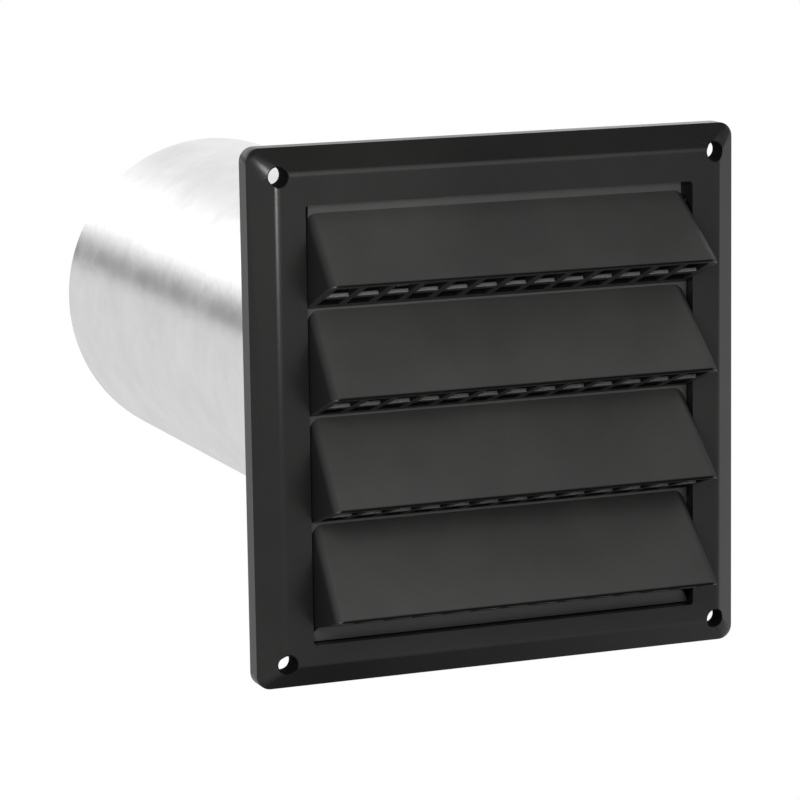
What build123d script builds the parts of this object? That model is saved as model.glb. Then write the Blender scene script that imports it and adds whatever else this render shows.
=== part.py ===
import math
import os

from build123d import *

os.makedirs("parts", exist_ok=True)

# Frame: X right, Z up, the front faces -Y and the wall plane is Y = 0.

# Face frame
plate_w = 144.4
plate_h = 148.8
plate_depth = 11.0
rim_depth = 5.5
bevel_w = 6.8
corner_r = 4.0
crease_r = 2.5
shell_wall = 2.2
hole_margin = 7.5
hole_d = 5.2
sink_d = 6.2
boss_d = 8.4
boss_back = 3.4

# Recess that takes the grille
opening_w = 114.8
opening_h = 121.0
opening_top = 59.0
opening_r = 1.0
recess_depth = 5.5
recess_wall = 2.0
panel_wall = 2.0
rib_wall = 1.6
rib_back = 2.8
rib_count = 4

# Tail pipe and the collar it is pushed over
pipe_od = 101.6
pipe_wall = 0.5
pipe_end = 240.0
pipe_clear = 0.15
collar_wall = 2.0
collar_end = 22.0
seam_w = 7.0
seam_groove_w = 0.8
seam_groove_depth = 0.25

# Louver grille
grille_clear = 0.3
hood_clear = 0.8
hood_flare = 1.5
base_wall = 2.0
louver_count = 4
lip_out = 28.7
lip_z = 38.9
lip_pitch = 30.4
root_z = 59.3
root_pitch = 29.5
root_web = 0.6
top_band = 3.0
hood_wall = 1.8
cheek_wall = 1.8
edge_r = 3.4
lip_r = 0.4
cell_count = 13
cell_rib = 2.2
row_margin = 1.9
front_row = 8.8
row_bar = 2.4
rear_row = 6.2
strip_r = 4.0
notch_w = 1.6
notch_h = 5.0

# Snap hooks that hold the grille in the recess
hook_z = 36.0
hook_w = 8.0
hook_wall = 2.0
hook_gap = 0.25
barb_out = 1.5
barb_len = 2.0

opening_z = opening_top - opening_h / 2
bevel_rise = plate_depth - rim_depth
bevel_slant = math.hypot(bevel_w, bevel_rise)
panel_front = recess_depth - plate_depth
panel_back = panel_front + panel_wall
hole_x = plate_w / 2 - hole_margin
hole_z = plate_h / 2 - hole_margin
shell_cut = shell_wall * (bevel_slant - bevel_rise) / bevel_w
collar_r = pipe_od / 2 - pipe_wall - pipe_clear
collar_bore_r = collar_r - collar_wall
base_front = panel_front - base_wall
base_w = opening_w - 2 * grille_clear
base_h = opening_h - 2 * grille_clear
hood_w = opening_w - 2 * hood_clear + 2 * hood_flare
hollow_w = opening_w - 2 * hood_clear - 2 * cheek_wall
hook_outer = base_w / 2 - 0.8
hook_inner = hook_outer - hook_wall


def front_plane(y):
    return Plane(origin=(0, y, 0), x_dir=(1, 0, 0), z_dir=(0, -1, 0))


def side_plane(x):
    return Plane(origin=(x, 0, 0), x_dir=(0, 1, 0), z_dir=(1, 0, 0))


def bevelled_block(width, height, rim, depth):
    run = (depth - rim) * bevel_w / bevel_rise
    with BuildPart() as block:
        with BuildSketch(front_plane(0)):
            Rectangle(width, height)
        extrude(amount=rim)
        with BuildSketch(front_plane(-rim)):
            Rectangle(width, height)
        with BuildSketch(front_plane(-depth)):
            Rectangle(width - 2 * run, height - 2 * run)
        loft()
    return block


# Face frame: bevelled shell, recess box, rear panel, collar and screw bosses
shell = bevelled_block(plate_w, plate_h, rim_depth, plate_depth)
inner_depth = plate_depth - shell_wall
inner_rim = rim_depth - shell_cut
stiff_depth = plate_depth - shell_wall / 2
stiff_rim = rim_depth - shell_cut / 2
hollow = bevelled_block(plate_w - 2 * shell_wall, plate_h - 2 * shell_wall, inner_rim, inner_depth)

inner_block = bevelled_block(plate_w - shell_wall, plate_h - shell_wall, stiff_rim, stiff_depth)

with BuildPart() as stiffening:
    with BuildSketch(front_plane(-rib_back)):
        with Locations((0, opening_z)):
            with GridLocations(plate_w, opening_h / rib_count, 1, rib_count):
                Rectangle(plate_w, rib_wall)
            with GridLocations(opening_w / rib_count, plate_h, rib_count, 1):
                Rectangle(rib_wall, plate_h)
            Rectangle(opening_w + recess_wall, opening_h + recess_wall, mode=Mode.SUBTRACT)
    extrude(amount=plate_depth)
    with BuildSketch(front_plane(-boss_back)):
        with GridLocations(2 * hole_x, 2 * hole_z, 2, 2):
            Circle(boss_d / 2)
    extrude(amount=plate_depth)
    add(inner_block.part, mode=Mode.INTERSECT)

with BuildPart() as face_frame:
    add(shell.part)
    rim_edges = face_frame.edges().filter_by(Axis.Y)
    mitre_edges = face_frame.edges().filter_by(
        lambda e: abs(e.tangent_at(0.5).X) > 0.3 and abs(e.tangent_at(0.5).Z) > 0.3
    )
    fillet(rim_edges + mitre_edges, radius=corner_r)
    crease_edges = face_frame.faces().sort_by(Axis.Y)[0].outer_wire().edges()
    fillet(crease_edges, radius=crease_r)
    add(hollow.part, mode=Mode.SUBTRACT)
    # Walls of the recess and the panel behind it
    with BuildSketch(front_plane(panel_back)):
        with Locations((0, opening_z)):
            Rectangle(opening_w + 2 * recess_wall, opening_h + 2 * recess_wall)
    extrude(amount=inner_depth + panel_back + shell_wall / 2)
    with BuildSketch(front_plane(panel_front)):
        with Locations((0, opening_z)):
            RectangleRounded(opening_w, opening_h, opening_r)
    extrude(amount=recess_depth + 1, mode=Mode.SUBTRACT)
    # Screw bosses, and ribs between the recess box and the rim
    add(stiffening.part)
    # Collar behind the panel
    with BuildSketch(front_plane(panel_back)):
        Circle(collar_r)
    extrude(amount=-(collar_end - panel_back))
    with BuildSketch(front_plane(collar_end + 1)):
        Circle(collar_bore_r)
    extrude(amount=collar_end + 1 - panel_front + 1, mode=Mode.SUBTRACT)
    # Slots for the hooks of the grille
    slot_inner = hook_inner - hook_gap
    slot_w = opening_w / 2 - slot_inner
    with BuildSketch(front_plane(panel_back + 1)):
        with GridLocations(2 * slot_inner + slot_w, 2 * hook_z, 2, 2):
            Rectangle(slot_w, hook_w + 2 * hook_gap)
    extrude(amount=panel_wall + 2, mode=Mode.SUBTRACT)
    # Screw holes with a countersunk mouth
    with BuildSketch(front_plane(1)):
        with GridLocations(2 * hole_x, 2 * hole_z, 2, 2):
            Circle(hole_d / 2)
    extrude(amount=plate_depth + 2, mode=Mode.SUBTRACT)
    sink_depth = (sink_d - hole_d) / 2
    for side in (-1, 1):
        for level in (-1, 1):
            sink_at = (side * hole_x, sink_depth / 2 - plate_depth, level * hole_z)
            with Locations(Location(sink_at, (90, 0, 0))):
                Cone(hole_d / 2, sink_d / 2, sink_depth, mode=Mode.SUBTRACT)
face_frame.part.label = "face_frame"
export_step(face_frame.part, "parts/face_frame.step")


# Louver grille: base plate, louver hoods with cheeks, guard lattices and snap hooks
def louver_top(index):
    top = root_z - root_pitch * index
    return top - top_band if index == 0 else top


def louver_lip(index):
    return lip_z - lip_pitch * index


def louver_return(index):
    return root_z - root_pitch * (index + 1) + root_web


def lattice_plane(index):
    drop = louver_lip(index) - louver_return(index)
    run = lip_out + base_front
    length = math.hypot(run, drop)
    outward = (0, -drop / length, -run / length)
    return Plane(
        origin=(0, -lip_out, louver_lip(index)),
        x_dir=(-1, 0, 0),
        z_dir=outward,
    )


def hood_outline(index, inset_face, inset_lattice, back_y):
    run = lip_out + base_front
    rise = louver_top(index) - louver_lip(index)
    drop = louver_lip(index) - louver_return(index)
    face_slope = rise / run
    lattice_slope = -drop / run
    face_z = louver_lip(index) - inset_face * math.hypot(1, face_slope)
    lattice_z = louver_lip(index) + inset_lattice * math.hypot(1, lattice_slope)
    tip_run = (lattice_z - face_z) / (face_slope - lattice_slope)
    tip = (tip_run - lip_out, face_z + face_slope * tip_run)
    back_run = back_y + lip_out
    return [
        tip,
        (back_y, face_z + face_slope * back_run),
        (back_y, lattice_z + lattice_slope * back_run),
    ]


def louver_hood(index):
    with BuildPart() as hood:
        with BuildSketch(side_plane(-hood_w / 2)):
            with BuildLine():
                Polyline(*hood_outline(index, 0, 0, base_front + base_wall / 2), close=True)
            make_face()
        extrude(amount=hood_w)
        with BuildSketch(Plane.XY.offset(-plate_h)):
            with BuildLine():
                Polyline(
                    (-hood_w / 2 + hood_flare, base_front + base_wall),
                    (hood_w / 2 - hood_flare, base_front + base_wall),
                    (hood_w / 2, -lip_out),
                    (-hood_w / 2, -lip_out),
                    close=True,
                )
            make_face()
        extrude(amount=2 * plate_h, mode=Mode.INTERSECT)
        soft_edges = hood.edges().filter_by(lambda e: e.tangent_at(0.5).Y * e.tangent_at(0.5).Z > 0.3)
        fillet(soft_edges, radius=edge_r)
        fillet(hood.edges().filter_by(Axis.X).sort_by(Axis.Y)[0], radius=lip_r)
    return hood


with BuildPart() as louver_grille:
    for index in range(louver_count):
        add(louver_hood(index).part)
    # Base plate with open corners
    with BuildSketch(front_plane(panel_front)):
        with Locations((0, opening_z)):
            Rectangle(base_w, base_h)
        for side in (-1, 1):
            with Locations((side * (base_w - notch_w) / 2, opening_z + (base_h - notch_h) / 2)):
                Rectangle(notch_w, notch_h, mode=Mode.SUBTRACT)
            with Locations((side * (base_w - strip_r) / 2, opening_z - (base_h - strip_r) / 2)):
                Rectangle(strip_r, strip_r, mode=Mode.SUBTRACT)
            with Locations((side * (base_w / 2 - strip_r), opening_z - base_h / 2)):
                Circle(strip_r)
        with Locations((0, opening_z - base_h / 2 - strip_r)):
            Rectangle(base_w, 2 * strip_r, mode=Mode.SUBTRACT)
    extrude(amount=base_wall)
    # Hollow inside each hood, open at the back
    for index in range(louver_count):
        with BuildSketch(side_plane(-hollow_w / 2)):
            with BuildLine():
                Polyline(*hood_outline(index, hood_wall, hood_wall, panel_front + 0.01), close=True)
            make_face()
        extrude(amount=hollow_w, mode=Mode.SUBTRACT)
    # Guard lattice: two rows of openings under each hood
    cell_pitch = (hollow_w + cell_rib) / cell_count
    cell_w = cell_pitch - cell_rib
    rear_start = row_margin + front_row + row_bar
    for index in range(louver_count):
        with BuildSketch(lattice_plane(index)):
            with Locations((0, row_margin + front_row / 2)):
                with GridLocations(cell_pitch, 1, cell_count, 1):
                    Rectangle(cell_w, front_row)
            with Locations((0, rear_start + rear_row / 2)):
                with GridLocations(cell_pitch, 1, cell_count, 1):
                    Rectangle(cell_w, rear_row)
        extrude(amount=-(hood_wall + 0.4), mode=Mode.SUBTRACT)
    # Snap hooks behind the base plate
    for side in (-1, 1):
        with BuildSketch(front_plane(panel_front)):
            with GridLocations(0, 2 * hook_z, 1, 2):
                with Locations((side * (hook_inner + hook_wall / 2), 0)):
                    Rectangle(hook_wall, hook_w)
        extrude(amount=-(panel_wall + hook_gap + barb_len))
        for level in (-hook_z, hook_z):
            with BuildSketch(Plane(origin=(0, 0, level - hook_w / 2), x_dir=(1, 0, 0), z_dir=(0, 0, 1))):
                with BuildLine():
                    Polyline(
                        (side * (hook_inner + 0.1), panel_back + hook_gap),
                        (side * (hook_inner - barb_out), panel_back + hook_gap),
                        (side * (hook_inner + 0.1), panel_back + hook_gap + barb_len),
                        close=True,
                    )
                make_face()
            extrude(amount=hook_w)
louver_grille.part.label = "louver_grille"
export_step(louver_grille.part, "parts/louver_grille.step")

# Tail pipe: rolled sheet with a flat lock seam along its underside
pipe_r = pipe_od / 2
with BuildPart() as tail_pipe:
    with BuildSketch(front_plane(panel_back)):
        Circle(pipe_r)
    extrude(amount=panel_back - pipe_end)
    with BuildSketch(front_plane(panel_back)):
        Circle(pipe_r - pipe_wall)
    extrude(amount=panel_back - pipe_end, mode=Mode.SUBTRACT)
    with BuildSketch(front_plane(panel_back)):
        with Locations((-seam_w / 2, -pipe_r), (seam_w / 2, -pipe_r)):
            Rectangle(seam_groove_w, 2 * seam_groove_depth)
    extrude(amount=panel_back - pipe_end, mode=Mode.SUBTRACT)
tail_pipe.part.label = "tail_pipe"
export_step(tail_pipe.part, "parts/tail_pipe.step")
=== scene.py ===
import math

import bpy
from mathutils import Matrix, Vector

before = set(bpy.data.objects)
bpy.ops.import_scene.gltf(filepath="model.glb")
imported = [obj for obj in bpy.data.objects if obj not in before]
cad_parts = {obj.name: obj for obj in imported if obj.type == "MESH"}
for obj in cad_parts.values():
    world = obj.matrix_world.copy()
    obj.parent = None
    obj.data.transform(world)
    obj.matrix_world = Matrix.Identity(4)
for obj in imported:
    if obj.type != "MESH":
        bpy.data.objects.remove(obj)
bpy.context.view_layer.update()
print("frame loaded:", sorted(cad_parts))


# Small helpers for node materials

def newMaterial(name):
    material = bpy.data.materials.new(name)
    material.use_nodes = True
    tree = material.node_tree
    return material, tree, tree.nodes["Principled BSDF"]


def addNode(tree, kind, settings=None, **inputs):
    node = tree.nodes.new(kind)
    for key, value in (settings or {}).items():
        setattr(node, key, value)
    for key, value in inputs.items():
        node.inputs[key.replace("_", " ")].default_value = value
    return node


def feed(tree, value, socket):  # link a socket, or set a plain value
    if isinstance(value, bpy.types.NodeSocket):
        tree.links.new(value, socket)
    else:
        socket.default_value = value


def maths(tree, operation, *values):
    node = addNode(tree, "ShaderNodeMath", {"operation": operation})
    for value, socket in zip(values, node.inputs):
        feed(tree, value, socket)
    return node.outputs["Value"]


def vectorMaths(tree, operation, output, *values):
    node = addNode(tree, "ShaderNodeVectorMath", {"operation": operation})
    for value, socket in zip(values, node.inputs):
        feed(tree, value, socket)
    return node.outputs[output]


def axes(tree, source):
    node = addNode(tree, "ShaderNodeSeparateXYZ")
    tree.links.new(source, node.inputs["Vector"])
    return node.outputs


def spread(tree, source, low, high, bottom=0.0, top=1.0):
    node = addNode(
        tree, "ShaderNodeMapRange", From_Min=low, From_Max=high, To_Min=bottom, To_Max=top
    )
    tree.links.new(source, node.inputs["Value"])
    return node.outputs["Result"]


def blendColour(tree, amount, first, second, how="MIX"):
    node = addNode(tree, "ShaderNodeMix", {"data_type": "RGBA", "blend_type": how})
    for value, place in ((amount, 0), (first, 6), (second, 7)):
        feed(tree, value, node.inputs[place])
    return node.outputs[2]


def stretchedNoise(tree, stretch, detail, rough=0.55):
    place = addNode(tree, "ShaderNodeTexCoord")
    mapping = addNode(tree, "ShaderNodeMapping", Scale=stretch)
    noise = addNode(tree, "ShaderNodeTexNoise", Scale=1.0, Detail=detail, Roughness=rough)
    tree.links.new(place.outputs["Object"], mapping.inputs["Vector"])
    tree.links.new(mapping.outputs["Vector"], noise.inputs["Vector"])
    return noise.outputs["Fac"]


def ramp(tree, source, stops):
    node = addNode(tree, "ShaderNodeValToRGB")
    elements = node.color_ramp.elements
    while len(elements) < len(stops):
        elements.new(0.5)
    for element, (place, colour) in zip(elements, stops):
        element.position = place
        levels = colour if isinstance(colour, tuple) else (colour,) * 3
        element.color = (*levels, 1.0)
    tree.links.new(source, node.inputs["Fac"])
    return node.outputs["Color"]


def bump(tree, source, target, depth):  # target is a shader or a finer bump
    strength, distance = depth
    node = addNode(tree, "ShaderNodeBump", Strength=strength, Distance=distance)
    tree.links.new(source, node.inputs["Height"])
    tree.links.new(node.outputs["Normal"], target.inputs["Normal"])
    return node


def paint(nodeName, material):
    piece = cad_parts[nodeName]
    piece.data.materials.clear()
    piece.data.materials.append(material)


def softenEdges(nodeName, look):
    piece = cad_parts[nodeName]
    weld = piece.modifiers.new("weld", "WELD")
    weld.merge_threshold = 1e-6
    bevel = piece.modifiers.new("soft edges", "BEVEL")
    bevel.width = look["edgeWidth"]
    bevel.segments = look["edgeSegments"]
    bevel.limit_method = "ANGLE"
    bevel.angle_limit = math.radians(look["edgeAngle"])
    bevel.harden_normals = False


# Moulded plastic: face frame and louver grille

mouldSurface = {
    "cloudStops": (0.35, 0.68),
    "cloudDetail": 5.0,
    "flowStretch": (60.0, 60.0, 14.0),
    "flowDetail": 3.0,
    "grainSize": 2600.0,
    "grainDetail": 2.0,
    "grainDepth": (0.10, 0.0002),
    "sinkSize": 18.0,
    "sinkDetail": 1.0,
    "sinkDepth": (0.08, 0.002),
}
framePlastic = {
    **mouldSurface,
    "deep": (0.0070, 0.0070, 0.0067),
    "pale": (0.0112, 0.0109, 0.0104),
    "shade": (0.0035, 0.0034, 0.0032),
    "openGloss": 0.34,
    "shadeGloss": 0.05,
    "roughLow": 0.28,
    "roughHigh": 0.38,
    "cloudSize": 22.0,
    # the screw hole walls get painted shade
    "holeAt": (0.0647, 0.0, 0.0669),
    "holeRadius": 0.0026,
    "holeBlur": (0.0003, 0.0001),
    "edgeWidth": 0.0003,
    "edgeSegments": 2,
    "edgeAngle": 40,
}
grillePlastic = {
    **mouldSurface,
    "deep": (0.034, 0.034, 0.0332),
    "pale": (0.045, 0.0446, 0.0434),
    "shade": (0.0020, 0.0020, 0.0019),
    "openGloss": 0.50,
    "shadeGloss": 0.12,
    "roughLow": 0.32,
    "roughHigh": 0.42,
    "cloudSize": 28.0,
    # painted shade on faces turned back, sideways or down; a painted highlight on the
    # ledge; painted shade on the wall above it and on the lip's front edge
    "backTurn": (0.10, 0.30),
    "sideTurn": (0.15, 0.80),
    "sideShade": 0.9,
    "underTurn": (-0.40, -0.85),
    "underShade": 0.35,
    "ledgeHighlight": (0.15, 0.149, 0.146),
    "wallFront": (-0.80, -0.86),
    "wallUp": (0.15, 0.25),
    "wallBehind": (0.0007, 0.0012),
    "ledgeLean": 0.0043,
    "ledgeEdge": -0.01825,
    "ledgeBlur": 0.00005,
    "lipEdge": -0.0280,
    "lipBlur": 0.0003,
}


# Mask for painted shade on faces turned to the back, the sides or down, where little light
# comes
def paintedShadeByFacing(tree, look):
    place = addNode(tree, "ShaderNodeTexCoord")
    facing = axes(tree, place.outputs["Normal"])
    sideways = maths(tree, "ABSOLUTE", facing["X"])
    backs = spread(tree, facing["Y"], *look["backTurn"])
    sides = spread(tree, sideways, *look["sideTurn"], top=look["sideShade"])
    unders = spread(tree, facing["Z"], *look["underTurn"], top=look["underShade"])
    return maths(tree, "MAXIMUM", backs, maths(tree, "MAXIMUM", sides, unders))


# Painted highlight on the ledge seen through the guards, and painted shade on the wall
# behind it and on the lip's front edge
def ledgeHighlightAndShade(tree, look):
    place = addNode(tree, "ShaderNodeTexCoord")
    facing = axes(tree, place.outputs["Normal"])
    spot = axes(tree, place.outputs["Object"])
    lip, edge, blur = look["lipEdge"], look["ledgeEdge"], look["ledgeBlur"]
    frontward = spread(tree, facing["Y"], *look["wallFront"])
    upward = spread(tree, facing["Z"], *look["wallUp"])
    behind = spread(tree, spot["Y"], *(lip + step for step in look["wallBehind"]))
    wall = maths(tree, "MULTIPLY", behind, maths(tree, "MULTIPLY", frontward, upward))
    lean = maths(tree, "MULTIPLY_ADD", spot["Z"], look["ledgeLean"], spot["Y"])
    ledgeHighlight = maths(tree, "MULTIPLY", wall, spread(tree, lean, edge + blur, edge - blur))
    lipShade = spread(tree, spot["Y"], lip, lip - look["lipBlur"])
    wallAndLipShade = maths(tree, "MAXIMUM", maths(tree, "SUBTRACT", wall, ledgeHighlight), lipShade)
    return ledgeHighlight, wallAndLipShade


# Mask for painted shade on the walls of the four screw holes, folded into one corner
def holeWallShade(tree, look):
    place = addNode(tree, "ShaderNodeTexCoord")
    folded = vectorMaths(tree, "ABSOLUTE", "Vector", place.outputs["Object"])
    flat = vectorMaths(tree, "MULTIPLY", "Vector", folded, (1.0, 0.0, 1.0))
    away = vectorMaths(tree, "DISTANCE", "Value", flat, look["holeAt"])
    return spread(tree, away, *(look["holeRadius"] + step for step in look["holeBlur"]))


def mouldedPlastic(name, look):
    material, tree, shader = newMaterial(name)
    cloud = stretchedNoise(tree, (look["cloudSize"],) * 3, look["cloudDetail"])
    base = ramp(tree, cloud, list(zip(look["cloudStops"], (look["deep"], look["pale"]))))
    # painted shade darkens colour and gloss: hole walls on the frame; on the grille, faces
    # turned away, the wall above the ledge and the lip front, with a painted highlight on
    # the ledge
    if "holeAt" in look:
        paintedShade = holeWallShade(tree, look)
    else:
        ledgeHighlight, wallAndLipShade = ledgeHighlightAndShade(tree, look)
        base = blendColour(tree, ledgeHighlight, base, (*look["ledgeHighlight"], 1.0))
        paintedShade = maths(tree, "MAXIMUM", paintedShadeByFacing(tree, look), wallAndLipShade)
    shaded = blendColour(tree, paintedShade, base, (*look["shade"], 1.0))
    tree.links.new(shaded, shader.inputs["Base Color"])
    dulled = spread(tree, paintedShade, 0.0, 1.0, look["openGloss"], look["shadeGloss"])
    shader.inputs["Specular IOR Level"].default_value = look["openGloss"]
    tree.links.new(dulled, shader.inputs["Specular IOR Level"])
    flow = stretchedNoise(tree, look["flowStretch"], look["flowDetail"])
    gloss = spread(tree, flow, 0.0, 1.0, look["roughLow"], look["roughHigh"])
    tree.links.new(maths(tree, "MAXIMUM", gloss, paintedShade), shader.inputs["Roughness"])
    grain = stretchedNoise(tree, (look["grainSize"],) * 3, look["grainDetail"])
    fine = bump(tree, grain, shader, look["grainDepth"])
    sink = stretchedNoise(tree, (look["sinkSize"],) * 3, look["sinkDetail"])
    bump(tree, sink, fine, look["sinkDepth"])
    return material


paint("face_frame", mouldedPlastic("frame plastic", framePlastic))
paint("louver_grille", mouldedPlastic("grille plastic", grillePlastic))
softenEdges("face_frame", framePlastic)
print("plastic done")


# Rolled sheet: tail pipe

pipeSheet = {
    "dull": (0.785, 0.78, 0.785),
    "bright": (0.86, 0.858, 0.86),
    "cloudStops": (0.30, 0.66),
    "cloudStretch": (85.0, 70.0, 85.0),
    # painted shade inside the pipe
    "insideShade": (0.085, 0.085, 0.086),
    "insideShadeStart": 0.239,
    "insideShadeFull": 0.185,
    "inwardTurn": -0.01,
    "roughLow": 0.15,
    "roughHigh": 0.34,
    "smearStretch": (60.0, 42.0, 60.0),
    "brushStretch": (40.0, 900.0, 40.0),
    "brushDepth": (0.05, 0.0002),
    "waveStretch": (55.0, 45.0, 55.0),
    "waveDepth": (0.10, 0.0012),
}


# The pipe's inner face, given painted shade that makes it dark and dull, growing towards
# the collar
def insideShadeMask(tree, look):
    place = addNode(tree, "ShaderNodeTexCoord")
    spot = place.outputs["Object"]
    across = vectorMaths(tree, "MULTIPLY", "Vector", spot, (1.0, 0.0, 1.0))
    facing = vectorMaths(tree, "DOT_PRODUCT", "Value", across, place.outputs["Normal"])
    inside = maths(tree, "LESS_THAN", facing, look["inwardTurn"])
    depth = spread(tree, axes(tree, spot)["Y"], look["insideShadeStart"], look["insideShadeFull"])
    return maths(tree, "MULTIPLY", inside, depth)


def rolledSheet(name, look):
    material, tree, shader = newMaterial(name)
    mask = insideShadeMask(tree, look)
    tree.links.new(maths(tree, "SUBTRACT", 1.0, mask), shader.inputs["Metallic"])
    cloud = stretchedNoise(tree, look["cloudStretch"], 7.0, 0.62)
    tone = ramp(tree, cloud, list(zip(look["cloudStops"], (look["dull"], look["bright"]))))
    shadedInside = blendColour(tree, mask, tone, (*look["insideShade"], 1.0))
    tree.links.new(shadedInside, shader.inputs["Base Color"])
    smear = stretchedNoise(tree, look["smearStretch"], 6.0, 0.65)
    gloss = spread(tree, smear, 0.0, 1.0, look["roughLow"], look["roughHigh"])
    tree.links.new(maths(tree, "MAXIMUM", gloss, mask), shader.inputs["Roughness"])
    brush = stretchedNoise(tree, look["brushStretch"], 4.0)
    fine = bump(tree, brush, shader, look["brushDepth"])
    wave = stretchedNoise(tree, look["waveStretch"], 5.0, 0.6)
    bump(tree, wave, fine, look["waveDepth"])
    return material


paint("tail_pipe", rolledSheet("rolled sheet", pipeSheet))
print("pipe done")


# Stage: floor, world and lamps

whitePaper = (1.0, 1.0, 1.0, 1.0)
stageLook = {
    "floorLevel": -0.30,
    "floorSize": 12.0,
    "floorColour": (0.80, 0.80, 0.80, 1.0),
    "floorRough": 0.9,
    # reflected floor level by distance from the object, low near it: painted shadow
    "gloss": [(0.06, 0.08), (0.32, 0.77)],
    "depthRange": (-2.0, 1.0),
    "glossDepth": [(0.0, 0.55), (0.17, 0.62), (0.38, 1.05), (0.70, 1.0)],
}


# White to the camera, a softer level in reflections with painted shadow dimming it near
# the object and a level that changes with depth, plain paper for the light
def floorPaper(look):
    material, tree, shader = newMaterial("floor paper")
    shader.inputs["Base Color"].default_value = look["floorColour"]
    shader.inputs["Roughness"].default_value = look["floorRough"]
    path = addNode(tree, "ShaderNodeLightPath").outputs
    spot = addNode(tree, "ShaderNodeTexCoord").outputs["Object"]
    shadowNearObject = ramp(tree, vectorMaths(tree, "LENGTH", "Value", spot), look["gloss"])
    depth = spread(tree, axes(tree, spot)["Y"], *look["depthRange"])
    faded = blendColour(tree, 1.0, shadowNearObject, ramp(tree, depth, look["glossDepth"]), "MULTIPLY")
    glow = addNode(tree, "ShaderNodeEmission")
    level = blendColour(tree, path["Is Camera Ray"], faded, whitePaper)
    tree.links.new(level, glow.inputs["Color"])
    seen = maths(tree, "MAXIMUM", path["Is Camera Ray"], path["Is Glossy Ray"])
    seen = maths(tree, "MAXIMUM", seen, path["Is Transmission Ray"])
    mix = addNode(tree, "ShaderNodeMixShader")
    tree.links.new(seen, mix.inputs["Fac"])
    tree.links.new(shader.outputs["BSDF"], mix.inputs[1])
    tree.links.new(glow.outputs["Emission"], mix.inputs[2])
    tree.links.new(mix.outputs["Shader"], tree.nodes["Material Output"].inputs["Surface"])
    return material


def makeFloor(look):
    half = look["floorSize"] / 2
    mesh = bpy.data.meshes.new("floor")
    corners = [(-half, -half, 0), (half, -half, 0), (half, half, 0), (-half, half, 0)]
    mesh.from_pydata(corners, [], [(0, 1, 2, 3)])
    floor = bpy.data.objects.new("floor", mesh)
    floor.location.z = look["floorLevel"]
    bpy.context.scene.collection.objects.link(floor)
    mesh.materials.append(floorPaper(look))


# Levels by direction: left and right sides by height, then by depth
worldLook = {
    "left": [
        (0.00, 0.80),
        (0.502, 0.80),
        (0.516, 0.34),
        (0.530, 0.12),  # the dark streak on the pipe
        (0.548, 0.26),
        (0.575, 0.75),
        (0.605, 1.70),  # the white streak above it
        (0.645, 1.60),
        (0.690, 0.98),
        (0.78, 0.50),
        (1.00, 0.30),
    ],
    "right": [
        (0.00, 0.80),
        (0.50, 0.85),
        (0.58, 0.98),
        (0.70, 0.95),
        (0.80, 0.58),
        (1.00, 0.30),
    ],
    "depth": [
        (0.00, 0.70),
        (0.30, 0.55),
        (0.40, 0.62),
        (0.50, 0.25),
        (0.80, 0.60),
        (0.90, 1.00),
        (1.00, 1.00),
    ],
    "side": [(0.46, 0.0), (0.56, 1.0)],
}


def makeWorld(look):
    world = bpy.data.worlds.new("studio")
    bpy.context.scene.world = world
    world.use_nodes = True
    tree = world.node_tree
    studio = tree.nodes["Background"]
    way = axes(tree, addNode(tree, "ShaderNodeTexCoord").outputs["Generated"])
    shades = {}
    for key, axis in (("left", "Z"), ("right", "Z"), ("depth", "Y"), ("side", "X")):
        shades[key] = ramp(tree, spread(tree, way[axis], -1.0, 1.0), look[key])
    sides = blendColour(tree, shades["side"], shades["left"], shades["right"])
    tree.links.new(sides, studio.inputs["Color"])
    tree.links.new(shades["depth"], studio.inputs["Strength"])
    paper = addNode(tree, "ShaderNodeBackground", Color=whitePaper, Strength=1.0)
    path = addNode(tree, "ShaderNodeLightPath").outputs
    seen = maths(tree, "MAXIMUM", path["Is Camera Ray"], path["Is Transmission Ray"])
    mix = addNode(tree, "ShaderNodeMixShader")
    tree.links.new(seen, mix.inputs["Fac"])
    tree.links.new(studio.outputs["Background"], mix.inputs[1])
    tree.links.new(paper.outputs["Background"], mix.inputs[2])
    tree.links.new(mix.outputs["Shader"], tree.nodes["World Output"].inputs["Surface"])


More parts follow.
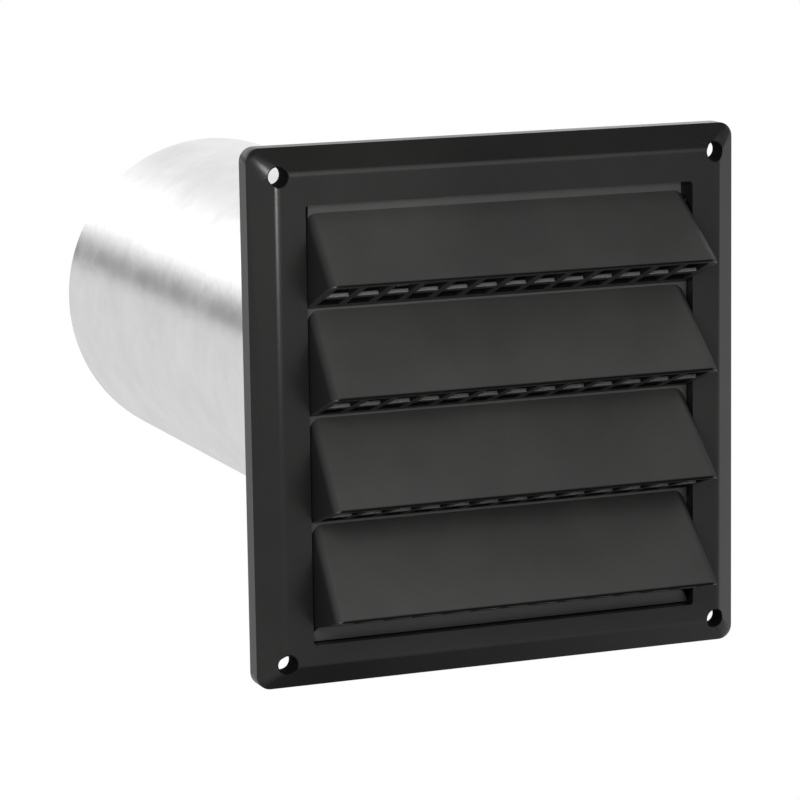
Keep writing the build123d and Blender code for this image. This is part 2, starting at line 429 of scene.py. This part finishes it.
# Soft boxes: where each stands, what it points at, its size in metres and its watts
studioLamps = {
    "key box": {
        "place": (0.35, -1.2, 0.75),
        "target": (0.0, 0.0, 0.0),
        "size": (1.4, 0.8),
        "power": 3.5,
    },
    "side box": {
        "place": (-0.19, -0.28, 0.11),
        "target": (-0.02, 0.0, 0.0),
        "size": (0.12, 0.12),
        "power": 0.85,
    },
    "back box": {
        "place": (0.9, 1.1, 0.9),
        "target": (0.0, 0.05, 0.0),
        "size": (0.8, 0.8),
        "power": 5.0,
    },
    "low box": {
        "place": (0.25, -1.2, 0.27),
        "target": (0.0, 0.0, 0.0),
        "size": (0.9, 0.16),
        "power": 1.0,
    },
}


def makeLamp(name, look):
    light = bpy.data.lights.new(name, "AREA")
    light.shape = "RECTANGLE"
    light.size, light.size_y = look["size"]
    light.energy = look["power"]
    lamp = bpy.data.objects.new(name, light)
    lamp.location = look["place"]
    lamp.visible_camera = False
    aim = Vector(look["target"]) - Vector(look["place"])
    lamp.rotation_euler = aim.to_track_quat("-Z", "Y").to_euler()
    bpy.context.scene.collection.objects.link(lamp)


makeFloor(stageLook)
makeWorld(worldLook)
for lampName, lampLook in studioLamps.items():
    makeLamp(lampName, lampLook)
print("stage done")


# Camera at the place the photograph was taken from, in millimetres and degrees

photoCamera = {
    "place": (-390.3, -928.5, 179.6),
    "yaw": 21.38,
    "pitch": -10.10,
    "roll": -0.87,
    "focalPixels": 3672.8,
    "imageWidth": 800.0,
    "sensorWidth": 36.0,
    "farthest": 50.0,
}


def makeCamera(look):
    yaw, pitch, roll = (math.radians(look[key]) for key in ("yaw", "pitch", "roll"))
    flat = math.cos(pitch)
    ahead = Vector((math.sin(yaw) * flat, math.cos(yaw) * flat, math.sin(pitch)))
    level = Vector((math.cos(yaw), -math.sin(yaw), 0.0))
    upright = level.cross(ahead)
    right = math.cos(roll) * level + math.sin(roll) * upright
    up = math.cos(roll) * upright - math.sin(roll) * level
    lens = bpy.data.cameras.new("photo camera")
    lens.sensor_fit = "HORIZONTAL"
    lens.sensor_width = look["sensorWidth"]
    lens.lens = look["focalPixels"] * look["sensorWidth"] / look["imageWidth"]
    lens.clip_end = look["farthest"]
    camera = bpy.data.objects.new("photo camera", lens)
    turn = Matrix((right, up, -ahead)).transposed().to_4x4()
    camera.matrix_world = Matrix.Translation(Vector(look["place"]) / 1000.0) @ turn
    bpy.context.scene.collection.objects.link(camera)
    bpy.context.scene.camera = camera


makeCamera(photoCamera)
bpy.context.scene.view_settings.view_transform = "Standard"
print("camera done")
